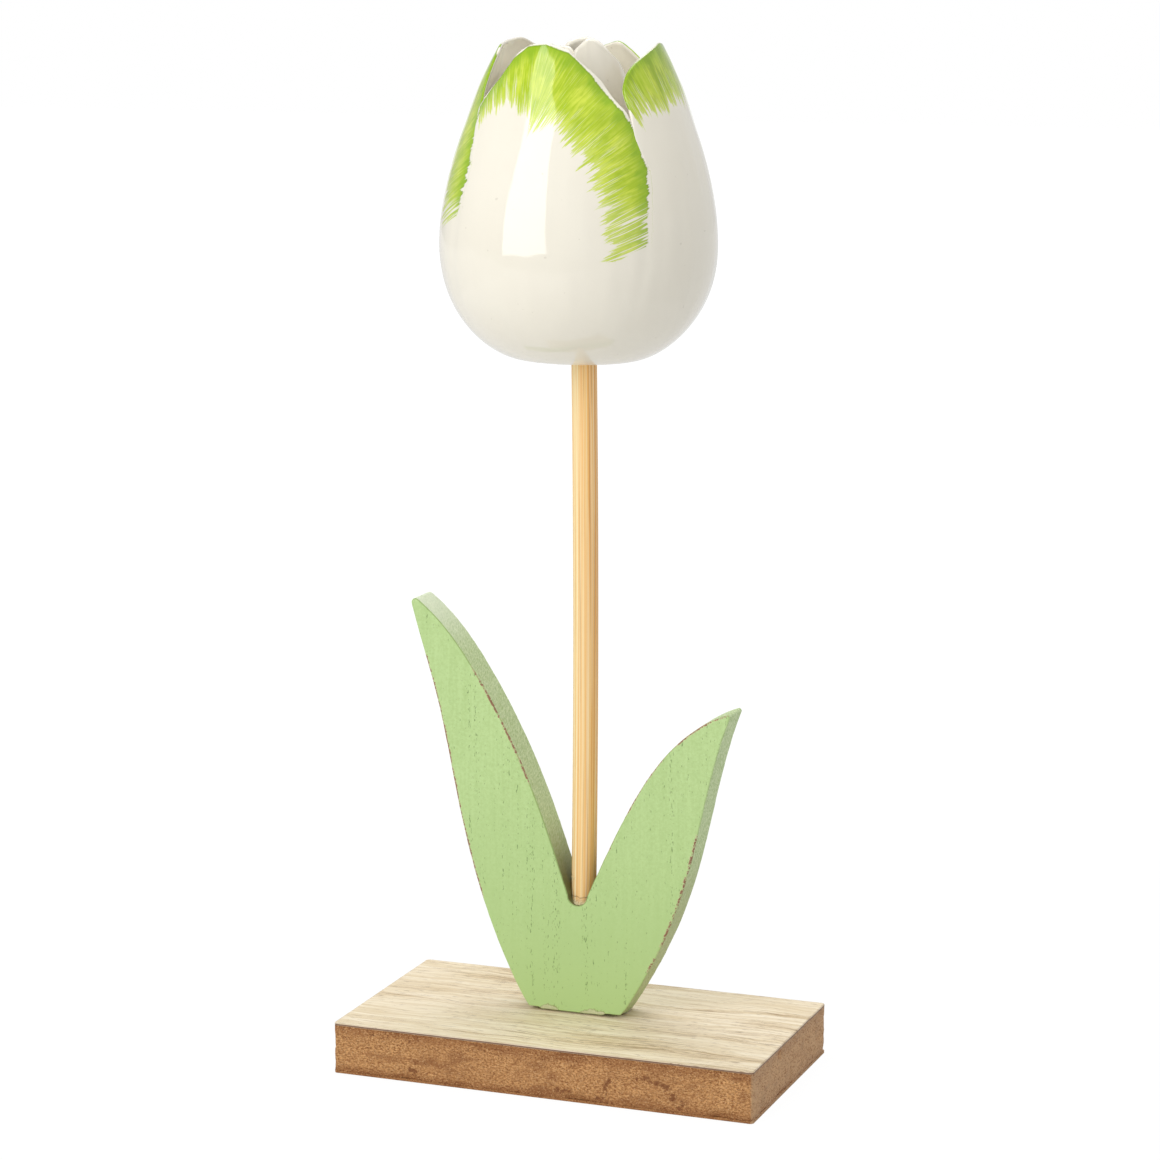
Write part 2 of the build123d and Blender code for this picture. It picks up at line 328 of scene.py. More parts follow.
rightTop = [
    (-43, 57, 100, 5, -1, 0.4), (-44, 61, 98, 8, -1, 0.4), (-39.4, 64.8, 96, 10, -0.8, 0.4),
    (-30, 67.4, 94, 12, 0, 0.3), (-14, 69.4, 92, 13, 0.1, 0.3), (4, 70.8, 90, 13.5, 0.1, 0.3),
    (18, 70.6, 86, 13, 0.1, 0.3), (30, 67.9, 75, 12, 0.3, 0.6), (41.5, 62, 58, 13, 0.5, 1.5),
    (44.5, 56.4, 48, 14, 0.5, 3)]
leftTop = [
    (-44.5, 56.6, 100, 6, -0.6, 0.4), (-45.8, 61, 98, 9, -0.6, 0.4), (-43, 65.8, 96, 12, -0.6, 0.4),
    (-36, 69.2, 94, 14, -0.5, 0.3), (-21, 70.9, 92, 15.5, -0.5, 0.3), (-8, 71.2, 90, 16, -0.5, 0.3),
    (10, 70.4, 88, 16.5, -0.5, 0.3), (26, 69.4, 82, 17, -0.6, 0.3), (35.5, 66, 68, 17, -0.6, 0.3),
    (42, 59.4, 55, 17, -0.6, 0.4), (45, 56.4, 49, 17, -0.3, 1)]
leftWander, backMargin = 7, -0.8
brushStrokes = {
    "front": frontTop + frontLow, "right": rightTop + sideLow,
    "left": leftTop + [(*stroke[:5], leftWander) for stroke in sideLow],
    "back": [(*stroke[:4], stroke[4] + backMargin, stroke[5]) for stroke in frontTop] + frontLow,
}
noStroke, noEdge = np.array([0.0, 60.0, -20.0]), np.zeros(3)  # far below a stroke that has no length
rimSteps, behind, strokeShift = 260, -3, 97  # the shift sets the streaks of one petal apart from the next one's
faceRings, edgeRings, roundRings = 32, 9, 11
upSteps, upRows, rimRows, downRows, floorRings, paintedRim = 2000, 110, 9, 40, 6, 4


def brushMarks(petal, angle, run):
    # for each point the stroke through it: place along the edge, distance down the stroke from its margin and the
    # stroke's length; and with it how far the margin wanders, a place for the depth, and the petal's load of darker
    # paint, which on the right petal is painted shade for its side turned from the light
    start, height, *rest = np.array(brushStrokes[petal["strokes"]], float).T
    runs = cupSkin.climb(height)
    keys = np.stack([np.radians(start) * cupSkin.radius(runs), runs, *rest], -1)
    at = runLength(keys[:, :2])
    rim = np.unique(np.concatenate([np.linspace(0, at[-1], rimSteps), at]))
    px, py, lean, reach, margin, wander = (np.interp(rim, at, column) for column in keys.T)
    wayX, wayY = -np.cos(np.radians(lean)), -np.sin(np.radians(lean))
    across = np.radians(angle) * cupSkin.radius(run)
    dx, dy = across.ravel()[:, None] - px, run.ravel()[:, None] - py
    side = wayX * dy - wayY * dx
    down = wayX * dx + wayY * dy
    crossed = (side[:, :-1] * side[:, 1:] <= 0) & (down[:, :-1] > behind)
    k = np.where(crossed, np.abs(down[:, :-1]), np.inf).argmin(1)
    row = np.arange(len(k))
    part = side[row, k] / (side[row, k] - side[row, k + 1] + tiny)
    values = np.broadcast_arrays(rim, down - margin, reach, wander)
    along, below, reach, wander = (
        np.where(crossed[row, k], v[row, k] * (1 - part) + v[row, k + 1] * part, none)
        for v, none in zip(values, (*noStroke, 0)))
    strokes = columns(along + strokeShift * petal["seed"], below, reach)
    edges = columns(wander, 0.0, petal.get("shadeLoad", 0.0))
    return strokes.reshape(*angle.shape, 3), edges.reshape(*angle.shape, 3)


def petalShell(skin, petal):
    # closed shell over the skin: rays from the petal's heart to its outline on the unrolled skin, out along the outer
    # face, round the rim in a half ellipse and back along the inner face
    degrees, heights = np.array(petal["outline"], float).T
    runs = skin.climb(heights)
    edge = loopThrough(np.stack([np.radians(degrees) * skin.radius(runs), runs], -1), petal["rays"])
    heart = np.array([0.0, skin.climb(petal["heart"])])
    out = outwards(edge)
    out *= np.sign(np.sum(out * (edge - heart), axis=1).mean())
    ray = lapSteps(len(edge))
    torn = lumps(ray * 0.5, petal["seed"], 11) + 0.4 * lumps(ray, petal["seed"], 12)
    inset = edge + out * petal["ragged"] * torn[:, None] - out * petal["rimRound"]
    share = np.concatenate([np.linspace(0, 0.92, faceRings), 1 - np.geomspace(0.06, 0.004, edgeRings), [1.0]])
    arc = np.linspace(0, halfTurn, roundRings + 2)[1:-1]
    outer = heart + (inset[:, None] - heart) * share[:, None]
    rim = inset[:, None] + out[:, None] * (petal["rimRound"] * np.sin(arc))[:, None]
    flat = np.concatenate([outer, rim, outer[:, ::-1]], 1)
    depth = np.concatenate([0 * share, (1 - np.cos(arc)) / 2, 0 * share + 1])
    fromRim = np.concatenate([1 - share, 0 * arc, 1 - share[::-1]])
    wall = petal["rimWall"] + (petal["wall"] - petal["rimWall"]) * ease(fromRim, 0, bloomForm["thinFrom"])
    height = np.interp(flat[..., 1], skin.run, skin.line[:, 1])
    angle = np.degrees(flat[..., 0] / skin.radius(flat[..., 1]))
    across = angle / bloomForm["petalHalf"]
    lift = np.interp(height, *zip(*petal["lift"]))
    lift = lift + petal["lap"] * ease(height, *bloomForm["lapFrom"]) * np.clip(across, -1, 1)
    lift = lift - petal["curl"] * ease(height, *bloomForm["curlFrom"]) * across ** 2
    points = skin.place(np.radians(petal["axis"] + angle), flat[..., 1], lift - depth * wall)
    brush, edges = noStroke, noEdge
    if petal["strokes"]:
        brush, edges = brushMarks(petal, angle, flat[..., 1])
        sidePainted = petal.get("sidePainted", petal["painted"])
        painted = np.where(angle > bloomForm["sideFrom"], sidePainted, petal["painted"])
        brush[..., 2] = np.where(depth > painted, noStroke[2], brush[..., 2])
        edges[..., 1] = depth
    return grid(points, wrapU=True, brush=brush, brushEdge=edges)


def bodyEdge(run):  # where on the body a petal's right edge runs, in degrees from its axis
    heights, degrees = np.array(bloomForm["seam"], float).T
    return np.interp(run, cupSkin.climb(heights), degrees)


def turnedBody(skin, petals, sink, wall, top, floor, turns):
    # the skin turned about its axis from the floor to a round rim and down inside
    stop = skin.climb(top) - wall / 2
    fine = np.linspace(0, stop, upSteps)
    low, high = skin.climb(bloomForm["strokeEnds"])  # rows lie closer where the brush strokes end
    dense = np.cumsum(1 + bloomForm["closer"] * ((fine > low) & (fine < high)))
    up = np.interp(np.linspace(dense[0], dense[-1], upRows), dense, fine)
    half = np.linspace(0, halfTurn, rimRows + 2)[1:-1]
    down = np.linspace(stop, skin.climb(floor + bloomForm["floorRise"]), downRows)
    spread = np.linspace(0, 1, floorRings)
    flat = 0 * spread
    run = np.concatenate([flat, up, stop + wall / 2 * np.sin(half), down, flat + down[-1]])
    lift = -sink - wall * np.concatenate([flat, 0 * up, (1 - np.cos(half)) / 2, 0 * down + 1, flat + 1])
    pull = np.concatenate([spread, np.ones(len(run) - 2 * floorRings), spread[::-1]])  # to the axis at both floors
    turn, run = np.meshgrid(np.linspace(-halfTurn, halfTurn, turns, endpoint=False), run, indexing="ij")
    valley, crease = bloomForm["valley"], 0
    for petal in petals:  # a soft valley where two petals join
        away = np.radians(wrapped(np.degrees(turn) - petal["axis"] - bodyEdge(run))) * skin.radius(run)
        deep = ease(run, valley["starts"], valley["full"])
        crease = crease - valley["depth"] * np.exp(-(away / valley["width"]) ** 2) * deep
    ring = skin.place(turn, run, lift + crease)
    centre = ring.mean(0, keepdims=True)
    points = centre + (ring - centre) * pull[:, None]
    brush, edges = (np.broadcast_to(bare, points.shape).copy() for bare in (noStroke, noEdge))
    outside = slice(floorRings + upRows + paintedRim)  # the columns that paint can reach
    for petal in petals:
        angle = wrapped(np.degrees(turn[:, outside]) - petal["axis"])
        edge = bodyEdge(run[:, outside]) + bloomForm["overlap"]
        mine = (angle > edge - bloomForm["pitch"]) & (angle <= edge)
        marks = brushMarks(petal, angle[mine], run[:, outside][mine])
        brush[:, outside][mine], edges[:, outside][mine] = marks
    return grid(points, wrapU=True, brush=brush, brushEdge=edges)


# outlines run round a petal as degrees from its axis and height; its root lies just under the body's skin
petalRoot = [(46, 50), (40, 44), (20, 41), (0, 40), (-20, 41), (-36, 44), (-42, 50)]
frontOutline = [
    (-5.4, 70.6), (4.8, 70.2), (12.4, 69.2), (19.6, 67.4), (26.4, 65.7), (32.8, 63.9), (36.4, 62.3), (39.4, 60.4),
    (42, 58.7), (45.2, 56.6), (47, 54), *petalRoot, (-46, 54), (-47.5, 56.3), (-45.6, 57.7), (-42.4, 59.9), (-37, 62.6),
    (-31.6, 65.6), (-26.6, 68.5), (-19.4, 70.0), (-12.8, 70.5)]
rightOutline = [
    (12, 71), (18, 70.6), (24, 69.6), (30, 67.9), (36, 65.4), (41.5, 62), (44, 58.5), (46, 55), *petalRoot, (-43, 54),
    (-43.2, 57.2), (-44, 58.8), (-44.2, 61.2), (-42.8, 62.9), (-39.4, 64.9), (-33.2, 66.8), (-24.6, 68.2),
    (-10, 69.9), (4, 70.8)]
leftOutline = [
    (-11.5, 71.3), (-1, 70.9), (10, 70.5), (20, 70.0), (27, 69.4), (32, 68.4), (35.5, 66), (38.5, 63), (42, 59.4),
    (46, 56.3), (47.5, 54.5), *petalRoot, (-44, 54), (-45.4, 57.5), (-45.8, 61), (-44.5, 64.5), (-41.5, 67.4),
    (-36, 69.3), (-31, 69.9), (-21, 70.95)]
backOutline = [
    (-6, 70.5), (0, 70.0), (6, 69.3), (13.2, 68.1), (25.8, 64.6), (31.2, 62.6), (37.2, 59.5), (43.8, 56.3), (46.5, 54),
    *petalRoot, (-43, 54), (-40.8, 56.4), (-36.2, 59.6), (-31.2, 63), (-26, 66), (-22.5, 67.2), (-17.5, 68.8),
    (-11, 70.2)]
flush = [(40, -0.04), (48, -0.04), (50, -0.035), (52, -0.01), (54, 0.04), (57, 0.16)]  # how a petal leaves the body

cupShell = {"wall": 2.4, "ragged": 0.06, "rimRound": 0.5, "heart": 56, "rays": 420}
cupPetals = {
    "petal_front": {
        "axis": -90, "seed": 1, "strokes": "front", "outline": frontOutline, "lift": [*flush, (72, 0.5)],
        "lap": -0.95, "curl": 1.2, "rimWall": 1.2, "painted": 0.15},
    # the right petal carries a load of darker paint: painted shade for its side turned from the light
    "petal_right": {
        "axis": 0, "seed": 3, "strokes": "right", "outline": rightOutline, "lift": [*flush, (64, 0.25), (72, 0.5)],
        "lap": 0.5, "curl": 0.3, "rimWall": 1.2, "painted": 0.6, "shadeLoad": 0.5},
    "petal_back": {
        "axis": 90, "seed": 2, "strokes": "back", "outline": backOutline, "lift": [*flush, (72, 0.5)],
        "lap": 0.5, "curl": 0.4, "rimWall": 1.2, "painted": 0.6},
    "petal_left": {
        "axis": 180, "seed": 4, "strokes": "left", "outline": leftOutline, "lift": [*flush, (72, 0.3)],
        "lap": 0.5, "curl": 0.0, "rimWall": 0.8, "painted": 0.15, "sidePainted": 0.55},
}


def budRoot(right, left):  # a bud petal's edge from its right side to its left, under the skin of the bud's body
    steps = [(0, 46), (2, 34), (8, 22), (22, 12)]
    down = [(right - inward, height) for inward, height in steps]
    return [*down, ((right + left) / 2, 8), *[(left + inward, height) for inward, height in steps[::-1]]]


budShell = {"wall": 2.0, "ragged": 0.10, "heart": 46, "rays": 300, "lap": 0.0, "curl": 0.0, "strokes": None}
budPetals = {
    "bud_right": {
        "axis": -40, "seed": 5, "rimWall": 2.2, "rimRound": 0.9,
        "lift": [(0, -0.8), (12, 0), (30, 0.4), (62, 0.6), (72, 0.4)],
        "outline": [
            (-16, 71.75), (-6, 71.5), (3, 70.9), (15, 70), (24, 68.8), (36, 67.6), (48, 66.2), (57, 64), (63, 60),
            (66, 54), *budRoot(66, -58), (-56, 56), (-53, 62), (-48, 66.6), (-43, 69.1), (-37, 69.9), (-31, 70.6),
            (-21, 71.6)]},
    "bud_left": {
        "axis": -158, "seed": 6, "rimWall": 1.6, "rimRound": 0.7,
        "lift": [(0, -0.8), (12, 0), (30, 0.1), (72, 0.1)],
        "outline": [
            (0, 70.5), (20, 70.3), (45, 70.1), (60, 70.1), (70, 69.5), (77, 67.4), (81, 62), (82, 54),
            *budRoot(82, -62), (-62, 54), (-60, 61), (-52, 66), (-40, 68.7), (-20, 70.1)]},
    "bud_back": {
        "axis": 92, "seed": 7, "rimWall": 1.6, "rimRound": 0.7,
        "lift": [(0, -0.8), (12, 0), (30, -0.15), (72, 0.2)],
        "outline": [
            (8, 71.9), (15, 71.85), (31.5, 71.5), (43, 70.9), (48, 70.5), (51.5, 69.9), (54.5, 68), (57.5, 62),
            (59, 54), *budRoot(59, -63), (-63, 54), (-60, 61), (-52, 65.6), (-38, 68.3), (-22, 70.3), (-8, 71.4)]},
}
glazeTones = tones(
    green=(170, 198, 18), pale=(212, 226, 74), laden=(158, 190, 10), hair=(226, 234, 134), top=(136, 178, 2),
    pooled=(116, 142, 14), heavy=(128, 156, 0), thin=(216, 227, 118), frayed=(210, 222, 122),
    cream=(244, 239, 224), shade=(240, 234, 218), within=(255, 250, 234), pinhole=(176, 166, 146))


def glazeFinish():  # glossy cream glaze; yellow-green brushed down from the edges in streaks that end ragged
    f = Finish("brushed glaze", glazeTones)
    place = f.place()
    along, down, reach = f.mark("brush")
    wander, inside, shadeLoad = f.mark("brushEdge")
    streaks = lambda fine, long, layer, *rest: f.noise(f.join(along * fine, down * long, layer), 1.0, *rest)
    bristles = streaks(1.6, 0.08, 0.0, 4.0, 0.64)
    hairs = streaks(3.4, 0.10, 21.0, 2.0, 0.6)
    loads = streaks(0.42, 0.14, 4.0, 3.0, 0.6)
    ends = streaks(0.55, 0.02, 9.0, 2.0, 0.7)
    starts = streaks(0.25, 0.05, 14.0, 4.0, 0.62)
    gaps = streaks(0.75, 0.03, 31.0, 1.0)
    patch = f.noise(place, 0.22, 3.0)
    left = reach * (0.45 + ends * 1.1) - down + (bristles - 0.5) * 8.0  # of the stroke, from here to its end
    cover = f.rise(left, 0.0, 0.5) * f.rise(down - (starts + bristles * 0.7 - 0.85) * wander, -0.12, 0.2)
    fray = f.rise(f.split(place)[2], *bloomForm["frays"])
    cover = cover * (1.0 - f.rise(abs(gaps - 0.5), 0.045, 0.02) * fray)  # the last strokes of a band lie apart
    bare = f.rise(hairs, 0.56, 0.63) * f.rise(left, 8.0, 0.5)  # hair-thin gaps near the ends
    green = f.coats(
        f.blend(f.rise(bristles + (patch - 0.5) * 0.45, 0.36, 0.66), "green", "pale"),
        ("laden", f.rise(loads + (bristles - 0.5) * 0.5, 0.48, 0.64, 0.6)),
        ("hair", f.rise(hairs, 0.57, 0.67, 0.5)),
        ("top", f.rise(down + (starts - 0.5) * 2.0 + (loads - 0.5) * 9.0, 4.0, 0.2, 0.85)),
        ("pooled", f.rise(down - (starts - 0.5) * wander, 0.55, 0.2, 0.5)),
        # darker blotches of heavy paint, laid on the right petal only: real heavier paint placed as painted shade
        ("heavy", shadeLoad * f.rise(loads + (bristles - 0.5) * 0.6, 0.62, 0.40)),
        ("thin", f.rise(left, 4.0, 0.2, 0.65)),
        ("frayed", fray * 0.35))
    cream = f.coats(
        f.blend(f.noise(place, 0.08, 2.0), "cream", "shade"),
        # painted light: the inner faces of the petals lighter, standing in for light that reaches down into the cup
        ("within", f.rise(inside, 0.97, 0.995)),
        ("pinhole", f.rise(f.noise(place, 0.9, 0.0), 0.83, 0.86, 0.22)))
    ripple = f.bump(f.noise(place, 0.22, 1.0), 0.08, 0.5)
    return f.surface(
        Base_Color=f.blend(cover * (1.0 - bare), cream, green), Roughness=0.06 + bristles * cover * 0.02,
        Normal=f.bump(f.noise(place, 1.4, 2.0), 0.010, 0.5, ripple), IOR=1.52, Coat_Weight=0.3, Coat_Roughness=0.03)


glaze = glazeFinish()
for name, petal in cupPetals.items():
    makePiece(name, [petalShell(cupSkin, cupShell | petal)], glaze, "bloom_cup")
makePiece("bloom_body", [turnedBody(cupSkin, cupPetals.values(), **bloomForm["body"])], glaze, "bloom_cup")
for name, petal in budPetals.items():
    makePiece(name, [petalShell(budSkin, budShell | petal)], glaze, "inner_bud")
makePiece("bud_body", [turnedBody(budSkin, [], **bloomForm["budBody"])], glaze, "inner_bud")
print("bloom: body, four petals, bud of three")


# stem: a round bamboo stick with a slight bow

stemForm = {
    "spot": (-0.6, 3.0), "low": 20.3, "high": 172.2, "radius": 2.93, "bevel": 0.2,
    # across: the way from the stick's lit left side to its shaded right, along which its finish paints light and shade
    "bow": 0.45, "bowFrom": 38.0, "bowTo": 168.0, "ring": 39.7, "across": (0.935, 0.355),
}
stickRows, stickTurns = 150, 96
bambooTones = tones(
    straw=(242, 188, 112), light=(255, 238, 190), pale=(255, 226, 162), middle=(252, 190, 98), cane=(236, 174, 96),
    amber=(242, 168, 78), thread=(255, 232, 186), dark=(190, 122, 56), ring=(140, 98, 56))


def stickGrid():  # rings up the stick, bowed as a parabola, slightly fluted, closed at both ends
    low, high, bevel = stemForm["low"], stemForm["high"], stemForm["bevel"]
    z = np.concatenate([[low, low], np.linspace(low + bevel, high - bevel, stickRows), [high, high]])
    radius = np.full(len(z), stemForm["radius"])
    radius[[0, -1]] = 0
    radius[[1, -2]] -= bevel
    turn = np.linspace(0, fullTurn, stickTurns, endpoint=False)[:, None]
    r = radius * (0.990 + 0.006 * np.cos(5 * turn + 0.7) + 0.004 * np.cos(9 * turn + z / 40))
    t = np.clip((z - stemForm["bowFrom"]) / (stemForm["bowTo"] - stemForm["bowFrom"]), 0, 1)
    x, y = stemForm["spot"]
    bowed = x + stemForm["bow"] * 4 * t * (1 - t), y
    return grid(around(bowed, r, turn, z), wrapU=True, fibre=around((0, 0), r, turn, z))


def bambooFinish():  # straight fibres: fine streaks along the stick, a few dark ones, satin; painted light and shade across it
    f = Finish("bare bamboo", bambooTones)
    x, y, z = f.mark("fibre")  # as if the stick had no bow
    own = f.join(x, y, z)
    fibres = f.grain(own, (3.2, 3.2, 0.007), 1.0, 2.0, 0.6)
    broad = f.grain(own, (0.55, 0.55, 0.006))
    dark = f.grain(own, (3.4, 3.4, 0.014), 1.0, 1.0)
    amber = f.grain(own, (3.6, 3.6, 0.010), 1.1, 0.0)
    threads = f.grain(own, (3.4, 3.4, 0.009), 1.0, 0.0)
    shadeX, shadeY = stemForm["across"]
    # painted light and shade: the lit left of the stick paler, the middle more orange, the shaded right darker
    across = x * shadeX + y * shadeY  # from the stick's lit side to its shaded side
    base = f.coats(
        f.blend(f.rise(fibres, 0.40, 0.60), "straw", "light"),
        ("pale", f.rise(broad, 0.4, 0.62, 0.5)),
        ("middle", f.rise(across + (fibres - 0.5) * 4.0, -1.1, 0.3, 0.5)),
        ("cane", f.rise(across + (fibres - 0.5) * 3.0, -0.4, 2.4, 0.42)),
        # amber lines and pale threads kept to the lit side, dark fibres a little more on the shaded side: real fibre
        # marks placed as painted light and shade
        ("amber", f.rise(amber, 0.53, 0.58) * f.rise(across, -1.9, -0.5, 0.5)),
        ("thread", f.rise(threads, 0.53, 0.57) * f.rise(across, -1.4, 0.4, 0.65)),
        ("dark", f.rise(dark + f.rise(across, -1.0, 2.0, 0.06), 0.62, 0.68, 0.55)),
        ("ring", f.rise(abs(z - stemForm["ring"] + (broad - 0.5) * 1.2), 0.22, 0.05, 0.6)))
    return f.surface(Base_Color=base, Roughness=0.42 + fibres * 0.2, Normal=f.bump(fibres, 0.06, 0.7), IOR=1.5)


makePiece("stick", [stickGrid()], bambooFinish(), "stem")
print("stem: bamboo stick")


# leaf plate: both leaves sawn from one board

leafForm = {
    "level": 12.3, "front": -1.5, "back": 7.5, "edgeRound": 0.38, "sawWave": 0.09,
    "foot": [(-12.7, 0), (10.1, 0)], "notch": (-0.6, 25.8, 2.3),  # the notch's middle, lowest point and radius
    "leftTip": (-42.4, 96.9), "rightTip": (36.7, 74.2), "leftCut": 2.6, "rightCut": 1.3,
    "rightOuter": ([(23.8, 27.3), (31.3, 56.2)], (0.65, 1), (0.4, 1)),  # points between its ends, way at each end
    "rightInner": ([(22.1, 64.5), (10.0, 45.8)], (-1, -0.3), (-0.45, -1)),
    "leftInner": ([(-12.2, 53.6), (-24.6, 77.3)], (-0.33, 1), (-0.86, 0.52)),
    "leftOuter": ([(-36, 74.3), (-29.9, 46.1)], (0.22, -1), (0.6, -1)),
    "rubbed": [  # heights between which an edge is rubbed through, on the right leaf, on the inner edge, how hard
        (38, 96, False, False, 1.0), (66, 93, False, True, 0.92),
        (24, 58, True, False, 1.0), (44, 88, True, True, 0.74)],
    "flakes": [(-7.6, 2.4, 1.0), (3.2, 3.0, 1.0), (5.4, 1.4, 0.8)],  # lifted at the foot: middle, half width, height
    "flakesFrom": 12.6,
    "cornerGaps": [(1, 5.4, 6.6, 0.5), (-1, 9.4, 10.4, 0.4)],  # at the foot: side, start, full from, height
}
onFace, tipSteps, footSteps, notchSteps, leftRows, rightRows = 5.0, 41, 101, 61, 300, 260
leafTones = tones(
    stipple=(180, 208, 137), paint=(193, 220, 152), low=(178, 207, 136), pore=(98, 128, 68), sawn=(166, 192, 124),
    sawnPale=(218, 232, 188), sawnLow=(158, 164, 108), notch=(98, 98, 48), tip=(236, 243, 222), arris=(124, 150, 74),
    wood=(112, 66, 48), woodPale=(178, 128, 102), primer=(216, 196, 164), lifted=(132, 134, 78), flake=(168, 180, 118),
    flakePale=(236, 230, 202))


def sawCurve(points, startWay, endWay, count=240):  # cubic spline by chord length with its end directions held
    p = np.asarray(points, float)
    t = runLength(p)
    h = np.diff(t)
    n = len(p)
    ways = [np.asarray(w, float) / np.linalg.norm(w) for w in (startWay, endWay)]
    a, b = np.zeros((n, n)), np.zeros((n, 2))
    mid = np.arange(1, n - 1)
    a[mid, mid - 1], a[mid, mid], a[mid, mid + 1] = h[:-1], 2 * (h[:-1] + h[1:]), h[1:]
    slope = np.diff(p, axis=0) / h[:, None]
    b[1:-1] = 6 * np.diff(slope, axis=0)
    a[0, :2], a[-1, -2:] = (2 * h[0], h[0]), (h[-1], 2 * h[-1])
    b[0], b[-1] = 6 * (slope[0] - ways[0]), 6 * (ways[1] - slope[-1])
    m = np.linalg.solve(a, b)
    at = np.linspace(0, t[-1], count)
    k = np.clip(np.searchsorted(t, at, side="right") - 1, 0, n - 2)
    u, v, h = (at - t[k])[:, None], (t[k + 1] - at)[:, None], h[k][:, None]
    bent = (m[k] * v ** 3 + m[k + 1] * u ** 3) / (6 * h)
    return bent + (p[k] / h - m[k] * h / 6) * v + (p[k + 1] / h - m[k + 1] * h / 6) * u


def tipBend(arrive, corner, leave):  # a round tip: from one curve to the next as a rational parabola about the corner
    t = np.linspace(0, 1, tipSteps)[:, None]
    corner = np.asarray(corner)
    a, b = corner - arrive, corner - leave
    weight = math.sqrt((1 - a @ b / np.linalg.norm(a) / np.linalg.norm(b)) / 2)
    first, middle, last = (1 - t) ** 2, 2 * weight * t * (1 - t), t ** 2
    return (first * arrive + middle * corner + last * leave) / (first + middle + last)


def leafOutline():
    # two chains from the left tip to the right tip, each in two runs: the outer one by way of the foot,
    # the inner one by way of the notch
    form = leafForm
    nx, nh, nr = form["notch"]
    footLeft, footRight = form["foot"]
    leftTip, rightTip, leftCut, rightCut = (form[key] for key in ("leftTip", "rightTip", "leftCut", "rightCut"))
    curve = lambda key, start, end: sawCurve([start, *form[key][0], end], *form[key][1:])
    rightOuter = trimmed(curve("rightOuter", footRight, rightTip), 0, rightCut)
    rightInner = trimmed(curve("rightInner", rightTip, (nx + nr, nh + nr)), rightCut, 0)
    leftInner = trimmed(curve("leftInner", (nx - nr, nh + nr), leftTip), 0, leftCut)
    leftOuter = trimmed(curve("leftOuter", leftTip, footLeft), leftCut, 0)
    leftBend = tipBend(leftInner[-1], leftTip, leftOuter[0])
    rightBend = tipBend(rightOuter[-1], rightTip, rightInner[0])
    bow = np.linspace(halfTurn, fullTurn, notchSteps)
    notch = np.stack([nx + nr * np.cos(bow), nh + nr + nr * np.sin(bow)], -1)
    foot = np.linspace(footLeft, footRight, footSteps)
    tip, sole, dip = tipSteps // 2, footSteps // 2, notchSteps // 2
    outer = (np.vstack([leftBend[tip:], leftOuter, foot[:sole + 1]]),
             np.vstack([foot[sole:], rightOuter, rightBend[:tip + 1]]))
    inner = (np.vstack([leftBend[tip::-1], leftInner[::-1], notch[:dip + 1]]),
             np.vstack([notch[dip:], rightInner[::-1], rightBend[:tip - 1:-1]]))
    return outer, inner


